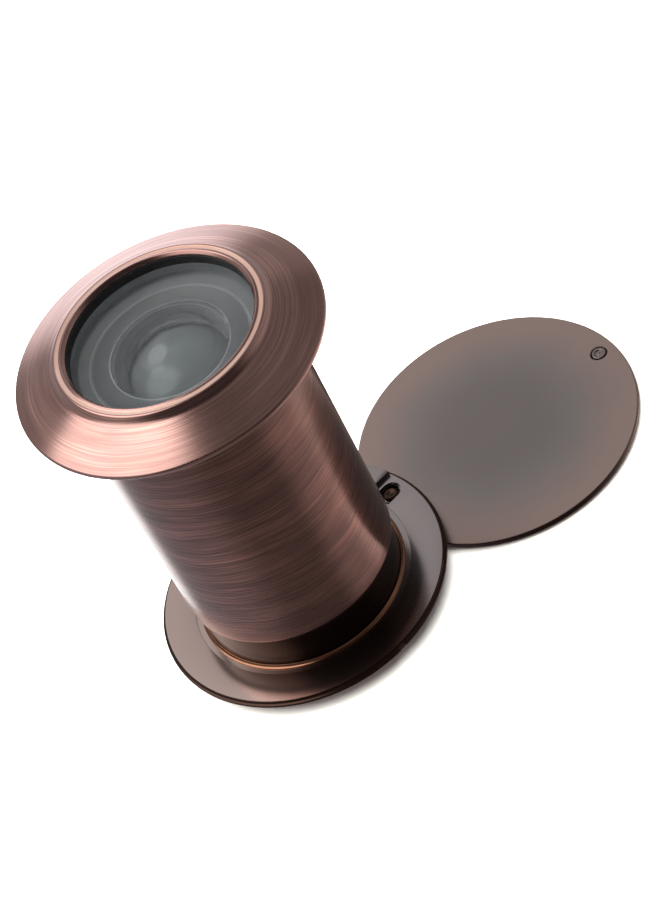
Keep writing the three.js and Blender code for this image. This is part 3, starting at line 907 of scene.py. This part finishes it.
overhead("overhead_lamp", 30, False)
overhead("overhead_glass_lamp", 17, True)

# %% [markdown]
# ## The room that the metal mirrors
#
# What shows on metal is the room it mirrors. A panorama of a room could be wrapped round the
# world, but then no window could be moved by itself. So the surroundings are painted as soft round
# patches: windows and lamps as bright ones, the unlit side of the room as dark ones. The camera
# itself sees only a plain white past the edge of the table.

# %% World
TABLE_GLARE = (0.98, 0.98, 0.965, 1)
ROOM = (0.44, 0.42, 0.41)
# Each patch: azimuth from +X towards +Y, elevation, inner and outer radius in degrees, and colour.
PATCHES = [
    (88, 14, 12, 34, (0.45, 0.43, 0.43)),
    (67, 46, 10, 26, (0.78, 0.76, 0.76)),
    (-113, 40, 35, 70, (0.06, 0.055, 0.055)),
    (10, 50, 24, 34, (0.25, 0.24, 0.24)),
    (165, 46, 10, 30, (1.9, 1.8, 1.75)),
    (130, 58, 20, 26, (3.0, 2.9, 2.8)),
    (-113, -60, 55, 90, (0.2, 0.185, 0.18)),
    (158, -45, 10, 50, (0.4, 0.4, 0.44)),
    (-40, -45, 4, 30, (0.6, 0.52, 0.5)),
    (4, -45, 15, 30, (1.35, 1.1, 1.0)),
    (50, -45, 10, 20, (0.02, 0.02, 0.02)),
    (92, -45, 6, 19, (1.9, 1.9, 1.9)),
    (68, -4, 8, 26, (1.8, 1.7, 1.75)),
]


def room_light():
    """Paints the patches, one over another, on the directions seen from the object. A patch's share
    runs smoothly from 0 to 1 as the cosine of the angle to its middle goes from cos(outer radius)
    to cos(inner radius)."""
    world = bpy.data.worlds.new("studio")
    world.use_nodes = True
    tree = world.node_tree
    tree.nodes.clear()
    ray = add(tree, "ShaderNodeTexCoord").outputs["Generated"]
    colour = add(tree, "ShaderNodeRGB")
    colour.outputs[0].default_value = (*ROOM, 1)
    painted = colour.outputs[0]
    for azimuth, elevation, inner, outer, value in PATCHES:
        a, e = math.radians(azimuth), math.radians(elevation)
        aim = (math.cos(a) * math.cos(e), math.sin(a) * math.cos(e), math.sin(e))
        cosine = add(tree, "ShaderNodeVectorMath", [(1, aim)], [(0, ray)], operation="DOT_PRODUCT")
        share = add(tree, "ShaderNodeMapRange",
                    [("From Min", math.cos(math.radians(outer))),
                     ("From Max", math.cos(math.radians(inner)))],
                    [("Value", cosine.outputs["Value"])], interpolation_type="SMOOTHSTEP")
        painted = add(tree, "ShaderNodeMix", [(7, (*value, 1))],
                      [(0, share.outputs[0]), (6, painted)], data_type="RGBA").outputs[2]
    direct = add(tree, "ShaderNodeLightPath").outputs["Is Camera Ray"]
    seen = add(tree, "ShaderNodeMix", [(7, TABLE_GLARE)], [(0, direct), (6, painted)],
               data_type="RGBA")
    light = add(tree, "ShaderNodeBackground", [], [("Color", seen.outputs[2])])
    add(tree, "ShaderNodeOutputWorld", [], [("Surface", light.outputs[0])])
    bpy.context.scene.world = world


room_light()
bpy.context.scene.view_settings.view_transform = "Standard"
print("room of", len(PATCHES), "patches")

# %% [markdown]
# ## The camera
#
# The camera looks down on the viewer from the street side, from a little to the left, through a
# long lens, and is rolled so that the sight line leans to the left. Its place is written as an
# azimuth, an elevation and a distance from the point that it looks at.

# %% Camera
AZIMUTH, ELEVATION, ROLL = -22.93, 44.57, -28.28
DISTANCE = 0.3760
AIM = Vector((-0.00576, -0.00259, 0.02081))
FOCAL_MM, SENSOR_MM = 125.5, 36


def look(azimuth, elevation, roll, distance, aim, focal):
    """A camera at distance from aim. back points from aim to it: (sin a cos e, -cos a cos e,
    sin e); right and up are turned about back by roll."""
    a, e, t = map(math.radians, (azimuth, elevation, roll))
    back = Vector((math.sin(a) * math.cos(e), -math.cos(a) * math.cos(e), math.sin(e)))
    aside = Vector((math.cos(a), math.sin(a), 0))
    above = back.cross(aside)
    right = aside * math.cos(t) + above * math.sin(t)
    up = above * math.cos(t) - aside * math.sin(t)
    camera = bpy.data.objects.new("camera", bpy.data.cameras.new("camera"))
    camera.data.lens = focal
    camera.data.sensor_width = SENSOR_MM
    camera.data.clip_start = 0.05
    camera.data.clip_end = 20
    turned = Matrix((right, up, back)).transposed().to_4x4()
    camera.matrix_world = Matrix.Translation(aim + back * distance) @ turned
    bpy.context.scene.collection.objects.link(camera)
    bpy.context.scene.camera = camera


look(AZIMUTH, ELEVATION, ROLL, DISTANCE, AIM, FOCAL_MM)
print("camera at", [round(v, 4) for v in bpy.context.scene.camera.matrix_world.translation])
